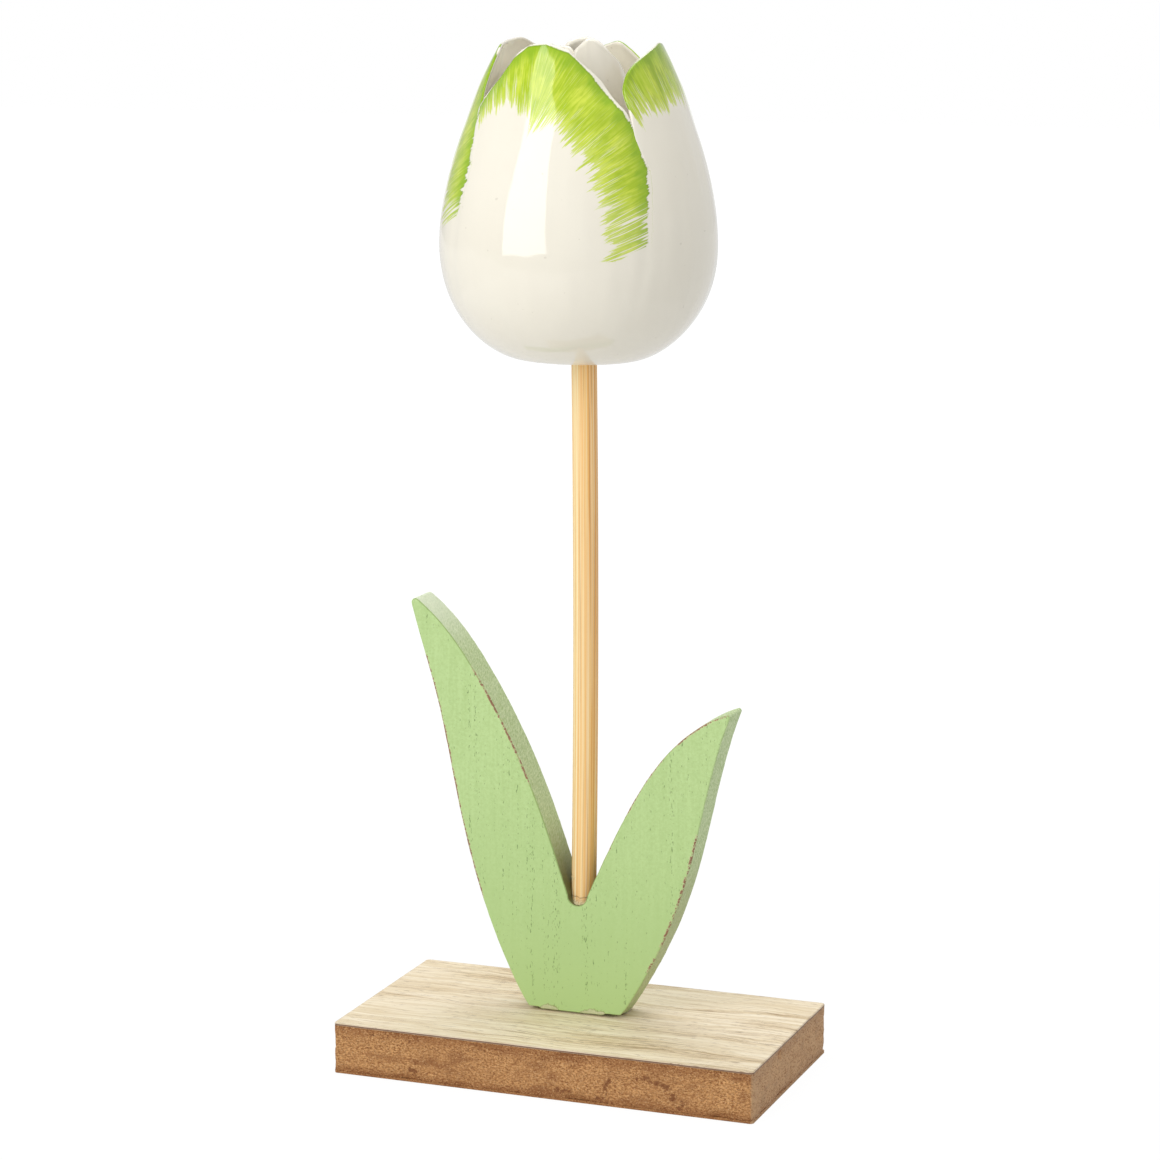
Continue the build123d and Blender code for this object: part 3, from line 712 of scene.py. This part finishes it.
def leafGrid():
    # a section loop (front, inner edge, back, outer edge, with rounded corners) carried from tip to tip
    # between the two chains
    outerLine, innerLine = (
        np.vstack([resample(left, leftRows), resample(right, rightRows)[1:]]) for left, right in leafOutline())
    innerLine[[0, -1]] = outerLine[[0, -1]]
    outerIn = -sideways(np.gradient(outerLine, axis=0))  # directions into the wood
    innerIn = sideways(np.gradient(innerLine, axis=0))
    for n in (0, -1):
        both = outerIn[n] + innerIn[n]
        outerIn[n] = innerIn[n] = both / np.linalg.norm(both)
    front, back, r = leafForm["front"], leafForm["back"], leafForm["edgeRound"]
    run = runLength(outerLine)
    # half of the loop as columns: share from the outer chain to the inner one, inset from that chain, y,
    # distance from the nearest edge, and 1 on a side
    bend = np.linspace(0, quarterTurn, 6)
    rounding, sided, bulge = r * (1 - np.sin(bend)), bend / quarterTurn, r * (1 - np.cos(bend))
    depth = np.linspace(front + r, back - r, 14)[1:-1]
    close = np.geomspace(0.012, 0.12, 5) - 0.012
    faceShare = np.concatenate([close, np.linspace(0.16, 0.84, 11), 1 - close[::-1]])
    half = np.vstack([
        columns(faceShare, r, front, onFace, 0),
        columns(1, rounding, front + bulge, 0, sided)[1:],
        columns(1, 0, depth, np.minimum(depth - front, back - depth) - r, 1),
        columns(1, bulge, back - rounding, 0, 1 - sided)])
    rest = half[1:-1] * (-1, 1, -1, 1, 1) + (1, 0, front + back, 0, 0)  # the same turned about the board's middle
    share, inset, y, edge, side = np.vstack([half, rest]).T
    near = outerLine[:, None] + outerIn[:, None] * inset[:, None]
    far = innerLine[:, None] + innerIn[:, None] * inset[:, None]
    flat = near * (1 - share)[:, None] + far * share[:, None]
    wave = lumps(run[:, None] / 3.0, y / 2.0 + 20 * share, 33) * (side > 0.4)  # saw marks on the cut edges
    wave = leafForm["sawWave"] * np.abs(wave) * (ease(run, 0, 6) * ease(run[-1] - run, 0, 6))[:, None]
    flat = flat + np.where((share < 0.5)[:, None], outerIn[:, None], innerIn[:, None]) * wave[..., None]
    footed = (share < 0.5) & (outerLine[:, 1] < 0.02)[:, None]
    flat[..., 1] = np.where(footed, np.maximum(flat[..., 1], 0), flat[..., 1])
    x = flat[..., 0]
    gap = sum(high * ease(x * toward, start, full) for toward, start, full, high in leafForm["cornerGaps"])
    gap = gap * ease(-y, -3, 0)  # the front corners don't quite sit
    z = flat[..., 1] + gap * np.clip(1 - flat[..., 1] / 2.5, 0, 1) + leafForm["level"]
    width = np.linalg.norm(outerLine - innerLine, axis=1)[:, None]
    fromEdge = np.where(edge == onFace, np.minimum(share, 1 - share) * width, edge)
    rub = np.full(x.shape, 0.25)
    for low, high, right, inside, hard in leafForm["rubbed"]:
        on = ((x > 0) == right) & ((share > 0.5) == inside)
        worn = hard * ease(z, low - 4, low + 4) * ease(-z, -high - 4, -high + 4)
        rub = np.where(on, np.maximum(rub, worn), rub)
    marks = {"edge": columns(fromEdge, side, run[:, None]), "rub": columns(rub * (y < 3), share > 0.5, 0.0)}
    return grid(columns(x, y, z), wrapV=True, **marks)


def leafFinish():
    # pale green paint that shows the pores of the wood, thin on the sawn sides, rubbed through along some edges,
    # with painted shade down in the notch and painted light near the tips of the inner sides
    f = Finish("rubbed leaf paint", leafTones)
    place = f.place()
    x, y, z = f.split(place)
    edge, side, run = f.mark("edge")
    rub, inner, _ = f.mark("rub")
    grain = f.grain(place, (1.1, 1.1, 0.05), 1.0, 4.0, 0.6)
    stipple = f.noise(place, 1.7, 3.0, 0.7)
    cloud = f.noise(place, 0.05, 2.0)
    paint = f.blend(f.rise(grain * 0.35 + stipple * 0.65, 0.34, 0.66), "stipple", "paint")
    paint = f.blend(f.rise(z + (cloud - 0.5) * 40.0, 10.0, 75.0), "low", paint)
    rows = f.grain(place, (0.75, 0.75, 0.010), 1.0, 2.0, 0.6)
    pores = f.grain(place, (4.4, 4.4, 1.1), 1.0, 1.0) + f.rise(rows, 0.50, 0.66, 0.12)
    pore = f.rise(pores, 0.745, 0.785) * (1.0 - side)
    fuzz = f.noise(f.join(run * 1.4 + y * 1.1, y * 0.5 - run * 0.25, z * 0.02), 1.6, 4.0, 0.7)
    sawn = f.rise(side, 0.55, 0.95)
    sides = f.coats(
        f.blend(f.rise(fuzz, 0.3, 0.7), "sawn", "sawnPale"),
        ("sawnLow", f.rise(z + (cloud - 0.5) * 20.0, 62.0, 34.0, 0.55)),
        # painted shade: the inner sides darkened down in the notch, beside the stick
        ("notch", inner * f.rise(z, 58.0, 42.0, 0.9)),
        # painted light: the inner sides lightened near the tips, where they turn up to the light
        ("tip", inner * f.rise(z, 94.0, 108.0, 0.6)))
    arris = 1.0 - abs(side * 2.0 - 1.0)  # 1 in the middle of a rounded corner
    flakes = f.noise(place, 1.6, 4.0, 0.65)
    where = f.noise(place, 0.16, 2.0)
    amount = rub * (0.53 + (flakes - 0.5) * 2.0 + (where - 0.5) * 1.3)
    amount = amount - edge * (1.2 + inner * 2.2) + inner * (arris * 0.16 - 0.12)
    worn = f.rise(amount, 0.42, 0.50)
    wood = f.blend(f.grain(place, (2.4, 2.4, 0.6), 1.0, 3.0), "wood", "woodPale")
    lens = [(1.0 - ((x - at) / half) ** 2.0) * tall for at, half, tall in leafForm["flakes"]]
    lift = lens[0].orMore(lens[1].orMore(lens[2])) - z + leafForm["flakesFrom"] + (flakes - 0.5) * 1.8
    base = f.coats(
        paint,
        ("pore", pore * 0.72),
        (sides, sawn),
        ("arris", inner * f.rise(arris, 0.2, 0.7, 0.5)),
        ("primer", f.rise(amount, 0.30, 0.40, 0.6)),
        (wood, worn * 0.9),
        ("lifted", f.rise(lift, -0.22, 0.0, 0.7) * (1.0 - side)),
        (f.blend(stipple, "flake", "flakePale"), f.rise(lift, 0.0, 0.15, 0.8) * (1.0 - side)))
    height = grain * 0.25 - pore * 0.5 + fuzz * sawn * 0.9 - worn * 0.6
    return f.surface(
        Base_Color=base, Roughness=0.48 + worn * 0.3 + side * 0.15, Normal=f.bump(height, 0.10, 0.6), IOR=1.47)


makePiece("leaf_board", [leafGrid()], leafFinish(), "leaf_plate")
print("leaf plate: two leaves from one board")


# base: sawn fibreboard with a pale veneer on top

baseForm = {
    "length": 102.0, "width": 55.0, "corner": 0.9, "sheet": 0.6, "height": 12.0, "steps": 640,
    "scuffs": [  # on the front: x, height
        [(14.8, 1.6), (15.4, 3.4), (16.8, 5.8)], [(24, 7.6), (28, 6.9), (31, 5.7), (33.4, 3.2), (35, 1.0)],
        [(-32, 2.4), (-29.5, 3.0)], [(4, 2.2), (6.5, 2.6)]],
    "scuffReach": 3, "frontFrom": -26,
    "block": {"edgeLow": 0.1, "edgeHigh": 0.1, "bite": 0.28, "seed": 41, "rows": 16},
    "veneer": {"edgeLow": 0.05, "edgeHigh": 0.22, "bite": 0.10, "seed": 51, "rows": 4},
}
fibreTones = tones(
    dark=(142, 88, 46), light=(226, 172, 112), fibre=(236, 200, 152), mottle=(178, 127, 80), blotch=(134, 82, 44),
    pit=(92, 50, 24), fleck=(240, 196, 142), scuff=(112, 60, 28), scratch=(92, 60, 38), end=(206, 174, 138))
veneerTones = tones(
    streak=(224, 203, 166), pale=(250, 237, 213), broad=(220, 196, 154), line=(174, 142, 102), pore=(138, 108, 76),
    dash=(124, 94, 66), cut=(128, 96, 74))


def frameLine(length, width, corner, count):
    # evenly spaced points round a rectangle with rounded corners, and their outward directions
    a = np.linspace(0, quarterTurn, 12)
    corners = [
        around((sx * (length / 2 - corner), sy * (width / 2 - corner)), corner, a + quarterTurn * n, 0)[:, :2]
        for n, (sx, sy) in enumerate(((1, 1), (-1, 1), (-1, -1), (1, -1)))]
    line = resample(np.vstack(corners), count, close=True)
    return line, outwards(line)


def slabGrid(low, high, edgeLow, edgeHigh, bite, seed, rows):
    # rings from the middle of the underside out to the edge, up the side and in again; noise bites into the side
    line, out = frameLine(baseForm["length"], baseForm["width"], baseForm["corner"], baseForm["steps"])
    run = lapSteps(len(line))[:, None]
    turn = np.linspace(0, quarterTurn, 5)
    across, up = 1 - np.sin(turn), 1 - np.cos(turn)
    inwards = [1.6, 4, 4, 4]
    inset, z, side = np.vstack([
        columns([*inwards[::-1], edgeLow + 0.4], low, 0),
        columns(edgeLow * across, low + edgeLow * up, 0.5),
        columns(0, np.linspace(low + edgeLow, high - edgeHigh, rows + 2)[1:-1], 1),
        columns(edgeHigh * up, high - edgeHigh * across, 0.5),
        columns([edgeHigh + 0.4, *inwards], high, 0)]).T
    pull = np.ones(len(z))
    pull[:2], pull[-2:] = (0, 0.5), (0.5, 0)
    rough = np.abs(lumps(run, z / 2.2, seed)) * 0.6 + np.abs(lumps(run * 3, z / 0.8, seed + 1)) * 0.4
    nick = ease(lumps(run * 0.7, z / 5.0 + 3, seed + 2), 0.45, 0.9)
    bitten = bite * (rough + 1.6 * nick) * ease(side, 0, 0.5)
    half = np.array([baseForm["length"], baseForm["width"]]) / 2
    plan = line[:, None] * ((1 - inset[:, None] / half) * pull[:, None]) - out[:, None] * bitten[..., None]
    points = raised(plan, z)
    reach = baseForm["scuffReach"]
    far = np.full(plan.shape[:2], float(reach))
    for scuff in baseForm["scuffs"]:
        spots = resample(np.asarray(scuff, float), 24)
        far = np.minimum(far, np.linalg.norm(points[..., None, ::2] - spots, axis=-1).min(-1))
    near = (reach - far) * (points[..., 1] < baseForm["frontFrom"])
    return grid(points, wrapU=True, edge=side[:, None], scuff=near[..., None])


def fibreFinish():  # sawn fibreboard: speckled brown fibres, denser and darker by both faces, a few dark scratches
    f = Finish("sawn fibreboard", fibreTones)
    place = f.place()
    x, _, z = f.split(place)
    speckle = f.grain(place, (1.0, 1.0, 1.7), 1.5, 4.0, 0.7)
    fibres = f.grain(place, (0.7, 0.7, 2.6), 2.2, 2.0, 0.6)
    mottle = f.noise(place, 0.16, 3.0)
    blotch = f.grain(place, (0.12, 0.12, 0.30), 1.0, 4.0, 0.65)
    pits = f.grain(place, (1.0, 1.0, 1.4), 2.4, 2.0, 0.6)
    scratch = f.grain(place, (0.35, 0.35, 2.4), 1.0, 3.0, 0.6)
    scuff = f.mark("scuff")[0] + (f.noise(place, 0.7, 3.0, 0.7) - 0.5) * 7.0 + (speckle - 0.5) * 2.0
    skin = f.rise(z + (mottle - 0.5) * 1.5, 2.4, 0.9) + f.rise(z + (mottle - 0.5) * 2.5, 8.4, 11.0)
    zone = 0.4 + f.rise(z, 6.0, 10.0, 0.4) + f.rise(z, 2.8, 0.9, 0.3)  # more pits by the faces
    base = f.coats(
        f.blend(f.rise(speckle, 0.32, 0.68), "dark", "light"),
        ("fibre", f.rise(fibres, 0.58, 0.72, 0.6)),
        ("mottle", f.rise(mottle, 0.35, 0.7, 0.35)),
        ("blotch", f.rise(blotch + (speckle - 0.5) * 0.3, 0.53, 0.66, 0.6)),
        ("dark", skin * 0.55),
        ("pit", f.rise(pits, 0.57, 0.66) * zone),
        ("fleck", f.rise(pits, 0.42, 0.34, 0.45)),
        ("scuff", f.rise(scuff, 2.2, 3.0, 0.75)),
        ("scratch", f.rise(scratch, 0.70, 0.76, 0.7)),
        ("end", f.rise(x, 50.2, 50.7) * f.rise(speckle, 0.34, 0.52, 0.6)))
    return f.surface(Base_Color=base, Roughness=0.8, Normal=f.bump(speckle + fibres * 0.5, 0.22, 0.8), IOR=1.4)


def veneerFinish():  # pale veneer: darker streaks and short pores along the length, brown at its cut edge
    f = Finish("pale veneer", veneerTones)
    place = f.place()
    x, y, z = f.split(place)
    lane = y + (f.grain(place, (0.035, 0.11, 0.11)) - 0.5) * 6.0  # the grain wanders
    lines = lambda long, fine, layer, *rest: f.noise(f.join(x * long, lane * fine, layer), 1.0, *rest)
    streaks = lines(0.035, 0.9, z, 5.0, 0.7)
    broad = lines(0.016, 0.17, 3.0, 3.0, 0.6)
    thin = lines(0.06, 1.7, 8.0, 4.0, 0.7)
    pores = lines(0.32, 3.6, 5.0, 1.0)
    dashes = lines(0.09, 4.6, 12.0, 2.0, 0.6)
    base = f.coats(
        f.blend(f.rise(streaks, 0.32, 0.68), "streak", "pale"),
        ("broad", f.rise(broad, 0.50, 0.64, 0.5)),
        ("line", f.rise(thin + (broad - 0.5) * 0.6, 0.57, 0.66, 0.7)),
        ("pore", f.rise(pores + (broad - 0.5) * 0.3, 0.63, 0.70, 0.65)),
        ("dash", f.rise(dashes + (broad - 0.5) * 0.3, 0.63, 0.69, 0.65)),
        ("cut", f.rise(f.mark("edge")[0], 0.35, 0.8)))
    return f.surface(
        Base_Color=base, Roughness=0.55 + streaks * 0.1, Normal=f.bump(streaks - pores * 0.3, 0.05, 0.5), IOR=1.45)


low, high = baseForm["sheet"], baseForm["height"]
block, face = slabGrid(low, high - low, **baseForm["block"]), slabGrid(high - low, high, **baseForm["veneer"])
makePiece("base_block", [block], fibreFinish(), "base_board")
makePiece("veneer_face", [face], veneerFinish(), "top_veneer")
print("base: block and veneer")


# glue: a film under the leaf plate and thin beads round the stick, above the notch and under the bloom

glueForm = {
    "glue_collar": {
        "node": "stem_glue", "low": 37.4, "high": 45.2, "film": 0.10, "flare": 0.9, "fade": 0.8, "flip": False,
        "drop": (-2.2, 44.4, 0.55)},
    "glue_ring": {
        "node": "bloom_glue", "low": 164.3, "high": 165.6, "film": 0.12, "flare": 0.5, "fade": 0.5, "flip": True,
        "drop": (-2.6, 164.9, 0.2)},
}
filmForm = {
    "spot": (-1.3, 3.0), "size": (22.8, 9.0), "corner": 0.6, "spill": 0.3, "low": 12.0, "high": 12.3, "steps": 360,
    "short": 2.2, "shortFrom": [(1, 6.8, 7.6), (-1, 8.3, 9.0)],
}
glueInside, glueOutside, dropSize, dropRadius = 2.7, 2.9, 0.75, 3.0
edgeWave, flareWave, flareFrom, endPower, beadTurns, beadRows = 0.35, 0.35, 0.7, 0.25, 160, 40
glueTones = tones(clear=(226, 206, 148), cloudy=(244, 234, 200))


def beadGrid(form):
    # a loop of radii carried round the stick: a thin film that flares out towards one end as a falling exponential,
    # wavy, with one round drop
    laps, rows = np.linspace(-halfTurn, halfTurn, beadTurns, endpoint=False), np.linspace(0, 1, beadRows)
    turn, v = np.meshgrid(laps, rows, indexing="ij")
    wave = lumps((turn / fullTurn + 0.5) * latticeSize, 3.5, 61)
    high = form["high"] - edgeWave * (1 + wave)
    z = form["low"] + (high - form["low"]) * v
    away = (high - z) if form["flip"] else (z - form["low"] - flareFrom)
    fat = form["film"] + form["flare"] * (1 + flareWave * wave) * np.exp(-np.maximum(away, 0) / form["fade"])
    at, level, size = form["drop"]
    gap = np.hypot(np.radians(wrapped(np.degrees(turn - at))) * dropRadius, z - level)
    fat = (fat + size * np.exp(-(gap / dropSize) ** 2)) * np.clip(4 * v * (1 - v), 0, 1) ** endPower
    back = lambda there: np.concatenate([there, there[:, ::-1]], 1)
    r = np.concatenate([glueOutside + fat, np.full_like(fat, glueInside)], 1)
    points = around(stemForm["spot"], r, back(turn), back(z))
    return grid(points, wrapU=True, wrapV=True, thick=back(fat)[..., None])


def filmGrid(form):  # a flat pad: rings from the middle of the underside out to a wavy rounded edge and back in on top
    line, out = frameLine(*form["size"], form["corner"], form["steps"])
    lap = lapSteps(form["steps"])
    wave = lumps(lap, 2.5, 62) + 0.6 * lumps(2 * lap, 7.5, 63)
    bend = np.linspace(-quarterTurn, quarterTurn, 9)
    inwards = np.array([0.9, 0.5, 0])
    reach = np.concatenate([inwards[::-1], 0 * bend + 1, inwards])
    puff = np.concatenate([0 * inwards, np.cos(bend), 0 * inwards])
    mid, half = (form["low"] + form["high"]) / 2, (form["high"] - form["low"]) / 2
    z = mid + half * np.concatenate([0 * inwards - 1, np.sin(bend), 0 * inwards + 1])
    x, y = line.T
    ends = sum(ease(x * toward, start, full) for toward, start, full in form["shortFrom"])
    short = form["short"] * ends * (y < -1)  # no glue under the foot's front corners
    spill = form["spill"] * (0.4 + 0.5 * wave)[:, None] * puff
    plan = (line - out * short[:, None])[:, None] * reach[:, None] + out[:, None] * spill[..., None]
    return grid(raised(plan + np.asarray(form["spot"]), z), wrapU=True, thick=np.full(3, form["spill"]))


def glueFinish():  # clear yellowish glue, glossy, cloudy in places
    f = Finish("clear glue", glueTones)
    cloud = f.noise(f.place(), 0.45, 2.0)
    return f.surface(
        Base_Color=f.blend(cloud, "clear", "cloudy"), Roughness=0.10 + cloud * 0.15,
        Alpha=f.rise(f.mark("thick")[0], 0.13, 0.7, 0.75), Normal=f.bump(cloud, 0.12, 0.6), IOR=1.47)


glue = glueFinish()
for name, form in glueForm.items():
    makePiece(name, [beadGrid(form)], glue, form["node"])
makePiece("glue_film", [filmGrid(filmForm)], glue, "foot_glue")
print("glue: two beads and a film")


# screws driven up from below; the backing sheet stays as the CAD has it, with a finish of its own

screwForm = {
    "spots": [(-8.55, 3.0), (5.95, 3.0)], "sink": 0.3, "head": 2.9, "bevel": 0.1, "neck": 1.9, "core": 1.18,
    "tip": 23.3, "point": 2.5, "ridge": 0.3, "ridgeHalf": 0.28, "pitch": 1.25, "threadFrom": (3, 5),
    "recess": 1.1, "slot": 0.55, "slotEnd": 1.6,
}
screwTurns, headRings, shankRings = 72, 24, 150
steelTones = tones(dull=(150, 150, 146), bright=(196, 195, 188))


def screwGrid(spot):
    # rings out over the head's face, up its cone and along the shank to the point; a cross is pressed into the face,
    # and the thread is a triangular ridge that climbs one pitch with each turn
    form = screwForm
    turn = np.linspace(0, fullTurn, screwTurns, endpoint=False)[:, None]
    face = np.linspace(0, form["head"] - form["bevel"], headRings)
    shank = np.linspace(form["neck"], form["tip"], shankRings)
    z = np.concatenate([0 * face + form["sink"], [form["sink"] + form["bevel"]], shank])
    r = np.concatenate([face, [form["head"]], 0 * shank + form["core"]]) + 0 * turn
    x, y = np.abs(r * np.cos(turn)), np.abs(r * np.sin(turn))
    cross = ease(form["slot"] - np.minimum(x, y), 0, 0.2) * ease(form["slotEnd"] - np.maximum(x, y), 0, 0.5)
    cross = cross * (z < form["sink"] + form["bevel"] / 2)
    phase = (z / form["pitch"] - turn / fullTurn) % 1
    ridge = np.clip(1 - np.abs(phase - 0.5) / form["ridgeHalf"], 0, 1) * ease(z, *form["threadFrom"])
    r = (r + form["ridge"] * ridge) * np.clip((form["tip"] - z) / form["point"], 0, 1)
    return grid(around(spot, r, turn, z + form["recess"] * cross), wrapU=True)


def steelFinish():  # zinc-plated steel with fine turning marks
    f = Finish("zinc steel", steelTones)
    marks = f.grain(f.place(), (0.6, 0.6, 6.0), 1.0, 3.0)
    base = f.blend(marks, "dull", "bright")
    return f.surface(Base_Color=base, Metallic=1.0, Roughness=0.25 + marks * 0.25)


screws = [screwGrid(spot) for spot in screwForm["spots"]]
makePiece("screw_pair", screws, steelFinish(), "base_screws")
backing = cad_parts["backing_veneer"].data.materials
backing.clear()
backing.append(fibreFinish())
print("screws: two, with thread and cross recess")


# stage: white floor and surround, a tall soft light at the left front, a weaker one above, the photograph's camera

white, matt = (1, 1, 1, 1), (0.62, 0.62, 0.62, 1)
stageForm = {
    "left": -2.5, "right": 2.5, "front": -0.62, "back": 4.0, "level": -0.0001, "glow": 1.06,
    "whiter": (140.0, 420.0, 1.0, 0.90),  # from and to these distances, the far share and the near one
    "sheet": ((-470.0, -440.0), (265.0, 245.0), (300.0, 100.0)),  # where the lit part fades: left, right, back
}
lampForm = {
    "key": {"spot": (-0.302, -0.742, 0.700), "back": (-0.701, -0.693, -0.168), "size": (0.555, 1.16), "power": 6.0},
    "top": {"spot": (-0.087, 0.217, 0.969), "back": (-0.1, 0.25, 1.0), "size": (0.7, 0.7), "power": 3.4},
}
cameraForm = {
    "spot": (0.2795, -0.7361, 0.2593), "back": (0.3496, -0.9193, 0.1807), "sensor": 36.0, "lens": 108.96,
    "clip": (0.01, 20.0),
}


def stageFinish():  # white to the camera and in reflections, with a share of the real shadow near the object
    f = Finish("white floor")
    place = f.place()
    x, y, _ = f.split(place)
    leftEdge, rightEdge, backEdge = stageForm["sheet"]
    sheet = f.rise(x, *leftEdge) * f.rise(x, *rightEdge) * f.rise(y, *backEdge)
    away = f.node("ShaderNodeVectorMath", {"operation": "LENGTH"}, {0: place}, 1)
    share = f.seen(0.6 + sheet * 0.4) * f.rise(away, *stageForm["whiter"])
    plain = f.node("ShaderNodeBsdfDiffuse", None, {0: matt})
    glow = f.node("ShaderNodeEmission", None, {0: white, 1: stageForm["glow"]})
    f.node("ShaderNodeOutputMaterial", None, {0: f.node("ShaderNodeMixShader", None, {0: share, 1: plain, 2: glow})})
    return f.owner


def surround():  # white to the camera; to the object a grey room, lighter at the back and on the right
    f = Finish("studio", kind="worlds")
    right, back, _ = f.split(f.node("ShaderNodeTexCoord", out="Generated"))  # the direction that is looked in
    room = f.rise(back, -0.35, 0.55, 0.69, 0.62) + f.rise(right, 0.1, 0.7, 0.07) - f.rise(right, -0.3, -0.7, 0.16)
    backdrop = f.rise(back * 0.934 - right * 0.356, 0.94, 0.98)  # white in reflections too, where the camera looks
    level = room + f.seen(backdrop) * (1.0 - room)
    f.node("ShaderNodeOutputWorld", None, {0: f.node("ShaderNodeBackground", None, {0: white, 1: level})})
    return f.owner


def turned(spot, back):  # a lamp's or camera's place: at a spot, facing away from the direction behind it, upright
    back = np.asarray(back, float) / np.linalg.norm(back)
    right = np.cross((0, 0, 1), back)
    right /= np.linalg.norm(right)
    place = np.eye(4)
    place[:3] = np.stack([right, np.cross(back, right), back, spot], -1)
    return Matrix(place.tolist())


floorMesh = bpy.data.meshes.new("floor")
left, right, front, back, level = (stageForm[key] for key in ("left", "right", "front", "back", "level"))
corners = [(left, front, level), (right, front, level), (right, back, level), (left, back, level)]
floorMesh.from_pydata(corners, [], [(0, 1, 2, 3)])
floorMesh.materials.append(stageFinish())
floor = show("floor", floorMesh)
bpy.context.scene.world = surround()

for name, form in lampForm.items():
    lamp = bpy.data.lights.new(name, "AREA")
    lamp.shape, lamp.energy = "RECTANGLE", form["power"]
    lamp.size, lamp.size_y = form["size"]
    show(name, lamp).matrix_world = turned(form["spot"], form["back"])

camera = bpy.data.cameras.new("camera")
camera.sensor_width = camera.sensor_height = cameraForm["sensor"]
camera.sensor_fit, camera.lens = "HORIZONTAL", cameraForm["lens"]
camera.clip_start, camera.clip_end = cameraForm["clip"]
eye = show("camera", camera)
eye.matrix_world = turned(cameraForm["spot"], cameraForm["back"])
bpy.context.scene.camera = eye
bpy.context.scene.view_settings.view_transform = "Standard"

print("stage, light and camera set")
